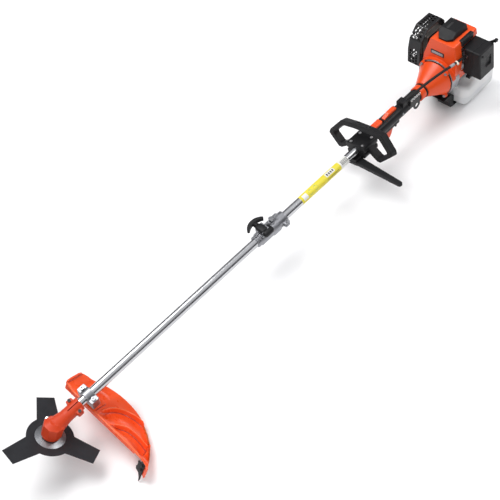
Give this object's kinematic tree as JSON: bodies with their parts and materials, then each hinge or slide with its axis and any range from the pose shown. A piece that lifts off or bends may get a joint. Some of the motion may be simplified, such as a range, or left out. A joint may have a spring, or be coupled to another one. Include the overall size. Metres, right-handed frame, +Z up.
{
  "type": "brush cutter",
  "caption": "Split-shaft petrol brush cutter: engine with tank and recoil starter, tube with loop handle, throttle grip and coupler, bevel gear head, toothed blade and fan-shaped guard.",
  "frame": {"origin": "centre of the harness eye, the hole that the carrying harness hooks into", "axes": "+X along the shaft tube towards the blade, +Y to the operator's left, +Z up"},
  "size_m": [1.9, 0.3471, 0.2832],
  "materials": {
    "orange_plastic": "satin moulded nylon",
    "black_plastic": "fine grained nylon",
    "polished_aluminium": "polished tube",
    "cast_aluminium": "die cast",
    "machined_steel": "machined",
    "blackened_steel": "hardened and blackened",
    "painted_black_metal": "satin paint",
    "grey_plastic": "satin grey",
    "tank_plastic": "milky translucent",
    "black_rubber": "matt",
    "rope": "braided nylon",
    "primer": "clear soft bulb"
  },
  "bodies": {
    "chassis": {"upper_tube": "polished_aluminium", "coupler_housing": "cast_aluminium", "coupler_bolt": "machined_steel", "loop_handle": "black_plastic", "handle_clamp": "black_plastic", "handle_screws": "machined_steel", "barrier_bar": "black_plastic", "grip_left": "black_plastic", "grip_right": "black_plastic", "throttle_cable": "black_rubber", "harness_hanger": "painted_black_metal", "clutch_housing": "orange_plastic", "crankcase": "cast_aluminium", "piston": "cast_aluminium", "connecting_rod": "machined_steel", "cylinder": "cast_aluminium", "spark_plug": "black_rubber", "engine_shroud": "orange_plastic", "top_cover": "black_plastic", "muffler": "machined_steel", "muffler_guard": "painted_black_metal", "carburettor": "cast_aluminium", "air_filter_case": "black_plastic", "air_filter_cover": "black_plastic", "fuel_tank": "tank_plastic", "tank_stand": "black_plastic", "starter_housing": "black_plastic"},
    "attachment": {"lower_tube": "polished_aluminium", "gear_head_casing": "orange_plastic", "gear_head_bearings": "machined_steel", "clamp_screws": "machined_steel", "grease_plug": "machined_steel", "guard_shell": "orange_plastic", "guard_bracket": "cast_aluminium", "guard_bracket_bolts": "machined_steel", "line_cutter": "black_plastic"},
    "cutter": {"cutting_blade": "blackened_steel", "upper_flange": "machined_steel", "lower_flange": "machined_steel", "blade_nut": "machined_steel", "output_shaft": "machined_steel", "driven_gear": "machined_steel"},
    "lower_drive": {"pinion_shaft": "machined_steel", "lower_drive_shaft": "machined_steel"},
    "upper_drive": {"upper_drive_shaft": "machined_steel", "clutch_drum": "machined_steel"},
    "crank_train": {"crankshaft": "machined_steel", "flywheel": "cast_aluminium", "clutch_shoes": "machined_steel"},
    "knob": {"coupler_knob": "black_plastic"},
    "pin": {"locating_pin": "machined_steel"},
    "trigger": {"throttle_trigger": "orange_plastic"},
    "lockout": {"lockout_lever": "orange_plastic"},
    "switch": {"stop_switch": "orange_plastic"},
    "choke": {"choke_lever": "black_plastic"},
    "primer": {"primer_bulb": "primer"},
    "cap": {"fuel_cap": "black_plastic"},
    "reel": {"starter_reel": "black_plastic"},
    "starter": {"starter_grip": "orange_plastic", "starter_rope": "rope"}
  },
  "joints": [
    {"name": "attachment_slide", "type": "slide", "parent": "chassis", "child": "attachment", "axis": [1, 0, 0], "range_m": [0, 0.058]},
    {"name": "blade_spin", "type": "hinge", "parent": "attachment", "child": "cutter", "pos_m": [1.442, -0.017, 0.014], "axis": [0.4695, -0.1533, -0.8695], "continuous": true},
    {"name": "lower_shaft_spin", "type": "hinge", "parent": "attachment", "child": "lower_drive", "pos_m": [1.042, -0.017, 0.014], "axis": [1, 0, 0], "continuous": true},
    {"name": "upper_shaft_spin", "type": "hinge", "parent": "chassis", "child": "upper_drive", "pos_m": [0.242, -0.017, 0.014], "axis": [1, 0, 0], "continuous": true},
    {"name": "crank_spin", "type": "hinge", "parent": "chassis", "child": "crank_train", "pos_m": [-0.188, -0.017, 0.014], "axis": [1, 0, 0], "continuous": true},
    {"name": "knob_turn", "type": "hinge", "parent": "chassis", "child": "knob", "pos_m": [0.676, -0.037, 0.039], "axis": [0, -1, 0], "continuous": true},
    {"name": "pin_pull", "type": "slide", "parent": "chassis", "child": "pin", "axis": [0, 0, 1], "range_m": [0, 0.006], "stiffness_N_per_m": 900, "springref_m": -0.004},
    {"name": "trigger_pull", "type": "hinge", "parent": "chassis", "child": "trigger", "pos_m": [0.152, -0.017, -0.005], "axis": [0, 1, 0], "range_deg": [0, 14], "stiffness_Nm_per_rad": 1.2, "springref_deg": -20.05},
    {"name": "lockout_press", "type": "hinge", "parent": "chassis", "child": "lockout", "pos_m": [0.139, -0.017, 0.0355], "axis": [0, -1, 0], "range_deg": [0, 6], "stiffness_Nm_per_rad": 0.8, "springref_deg": -17.19},
    {"name": "stop_switch_slide", "type": "slide", "parent": "chassis", "child": "switch", "axis": [-1, 0, 0], "range_m": [0, 0.006]},
    {"name": "choke_turn", "type": "hinge", "parent": "chassis", "child": "choke", "pos_m": [-0.249, 0.081, 0.11], "axis": [1, 0, 0], "range_deg": [-50, 0]},
    {"name": "primer_press", "type": "slide", "parent": "chassis", "child": "primer", "axis": [0, 0, 1], "range_m": [0, 0.004], "stiffness_N_per_m": 600, "springref_m": -0.002},
    {"name": "fuel_cap_turn", "type": "hinge", "parent": "chassis", "child": "cap", "pos_m": [-0.208, -0.112, -0.058], "axis": [0, -1, 0], "continuous": true},
    {"name": "starter_pull", "type": "slide", "parent": "chassis", "child": "starter", "axis": [0, 0, 1], "range_m": [0, 0.6], "stiffness_N_per_m": 15, "springref_m": -0.2, "deforming": ["starter_rope"]},
    {"name": "reel_spin", "type": "hinge", "parent": "chassis", "child": "reel", "pos_m": [-0.272, -0.017, 0.014], "axis": [1, 0, 0], "range_deg": [0, 1042]}
  ],
  "couplings": [
    {"joint": "lower_shaft_spin", "follows": "blade_spin", "ratio": 1.3571},
    {"joint": "upper_shaft_spin", "follows": "blade_spin", "ratio": 1.3571},
    {"joint": "reel_spin", "follows": "starter_pull", "rad_per_m": 30.303}
  ]
}
